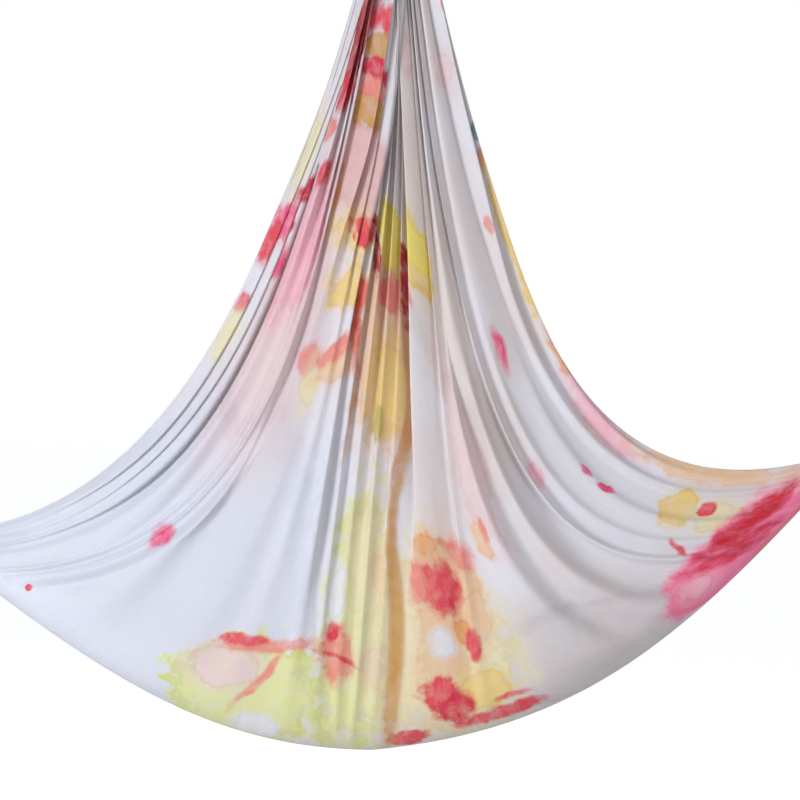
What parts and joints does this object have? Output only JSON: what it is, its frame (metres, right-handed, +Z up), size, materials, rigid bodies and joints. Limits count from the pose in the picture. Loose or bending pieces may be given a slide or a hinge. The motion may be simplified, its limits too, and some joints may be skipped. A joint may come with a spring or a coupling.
{
  "type": "aerial hammock",
  "caption": "Aerial hammock: a wide strip of stretch nylon gathered at both ends and hung from one ball-bearing swivel, draped open into a fan-shaped sling.",
  "frame": {"origin": "inside of the top carabiner's upper bow, where the anchor that holds the hammock bears on it", "axes": "+Z up along the hanging line, X across the width of the cloth, +Y from the front panel to the rear panel"},
  "size_m": [2.438, 0.345, 2.7049],
  "materials": {
    "dust_seal": "matt, moulded",
    "front_carabiner_frame": "zinc plated, lightly worn",
    "front_choker": "woven polyester webbing, black",
    "front_gate": "zinc plated, lightly worn",
    "front_gate_plunger": "zinc plated, lightly worn",
    "front_gate_spring": "zinc plated, lightly worn",
    "front_hinge_pin": "zinc plated, lightly worn",
    "front_screw_sleeve": "zinc plated, lightly worn",
    "gathered_end_front": "knitted stretch nylon, white with printed splashes of colour",
    "gathered_end_rear": "knitted stretch nylon, white with printed splashes of colour",
    "rear_carabiner_frame": "zinc plated, lightly worn",
    "rear_choker": "woven polyester webbing, black",
    "rear_gate": "zinc plated, lightly worn",
    "rear_gate_plunger": "zinc plated, lightly worn",
    "rear_gate_spring": "zinc plated, lightly worn",
    "rear_hinge_pin": "zinc plated, lightly worn",
    "rear_screw_sleeve": "zinc plated, lightly worn",
    "shaft_nut": "zinc plated, lightly worn",
    "sling_cloth": "knitted stretch nylon, white with printed splashes of colour",
    "swivel_body": "forged and tumbled",
    "swivel_shaft_eye": "forged and tumbled",
    "thrust_ball_cage": "machined",
    "thrust_race_lower": "zinc plated, lightly worn",
    "thrust_race_upper": "zinc plated, lightly worn",
    "top_carabiner_frame": "zinc plated, lightly worn",
    "top_gate": "zinc plated, lightly worn",
    "top_gate_plunger": "zinc plated, lightly worn",
    "top_gate_spring": "zinc plated, lightly worn",
    "top_hinge_pin": "zinc plated, lightly worn",
    "top_screw_sleeve": "zinc plated, lightly worn"
  },
  "bodies": {
    "anchor": {"top_carabiner_frame": "top_carabiner_frame", "top_hinge_pin": "top_hinge_pin"},
    "swivel_upper": {"swivel_body": "swivel_body", "thrust_race_lower": "thrust_race_lower"},
    "ball_cage": {"thrust_ball_cage": "thrust_ball_cage"},
    "swivel_lower": {"swivel_shaft_eye": "swivel_shaft_eye", "shaft_nut": "shaft_nut", "thrust_race_upper": "thrust_race_upper", "dust_seal": "dust_seal"},
    "sling": {"sling_cloth": "sling_cloth", "gathered_end_front": "gathered_end_front", "gathered_end_rear": "gathered_end_rear", "front_choker": "front_choker", "rear_choker": "rear_choker", "front_carabiner_frame": "front_carabiner_frame", "front_hinge_pin": "front_hinge_pin", "rear_carabiner_frame": "rear_carabiner_frame", "rear_hinge_pin": "rear_hinge_pin"},
    "top_gate": {"top_gate": "top_gate", "top_gate_plunger": "top_gate_plunger", "top_gate_spring": "top_gate_spring"},
    "top_sleeve": {"top_screw_sleeve": "top_screw_sleeve"},
    "front_gate": {"front_gate": "front_gate", "front_gate_plunger": "front_gate_plunger", "front_gate_spring": "front_gate_spring"},
    "front_sleeve": {"front_screw_sleeve": "front_screw_sleeve"},
    "rear_gate": {"rear_gate": "rear_gate", "rear_gate_plunger": "rear_gate_plunger", "rear_gate_spring": "rear_gate_spring"},
    "rear_sleeve": {"rear_screw_sleeve": "rear_screw_sleeve"}
  },
  "joints": [
    {"name": "upper_swing", "type": "hinge", "parent": "anchor", "child": "swivel_upper", "pos_m": [0, 0, -0.0965], "axis": [0, 1, 0], "range_deg": [-30, 30]},
    {"name": "swivel_spin", "type": "hinge", "parent": "swivel_upper", "child": "swivel_lower", "pos_m": [0, 0, -0.1507], "axis": [0, 0, 1], "continuous": true},
    {"name": "cage_spin", "type": "hinge", "parent": "swivel_upper", "child": "ball_cage", "pos_m": [0, 0, -0.1507], "axis": [0, 0, 1], "continuous": true},
    {"name": "lower_swing", "type": "hinge", "parent": "swivel_lower", "child": "sling", "pos_m": [0, 0, -0.1959], "axis": [1, 0, 0], "range_deg": [-30, 30]},
    {"name": "top_gate_hinge", "type": "hinge", "parent": "anchor", "child": "top_gate", "pos_m": [0, 0.023, -0.067], "axis": [1, 0, 0], "range_deg": [0, 28], "stiffness_Nm_per_rad": 0.5, "springref_deg": -11.46},
    {"name": "top_sleeve_slide", "type": "slide", "parent": "top_gate", "child": "top_sleeve", "axis": [0, 0, 1], "range_m": [0, 0.01]},
    {"name": "front_gate_hinge", "type": "hinge", "parent": "sling", "child": "front_gate", "pos_m": [-0.007, -0.03501, -0.25], "axis": [-1, 0, 0], "range_deg": [0, 28], "stiffness_Nm_per_rad": 0.5, "springref_deg": -11.46},
    {"name": "front_sleeve_slide", "type": "slide", "parent": "front_gate", "child": "front_sleeve", "axis": [0, 0.2079, 0.9781], "range_m": [0, 0.01]},
    {"name": "rear_gate_hinge", "type": "hinge", "parent": "sling", "child": "rear_gate", "pos_m": [0.007, 0.03501, -0.25], "axis": [1, 0, 0], "range_deg": [0, 28], "stiffness_Nm_per_rad": 0.5, "springref_deg": -11.46},
    {"name": "rear_sleeve_slide", "type": "slide", "parent": "rear_gate", "child": "rear_sleeve", "axis": [0, -0.2079, 0.9781], "range_m": [0, 0.01]}
  ]
}
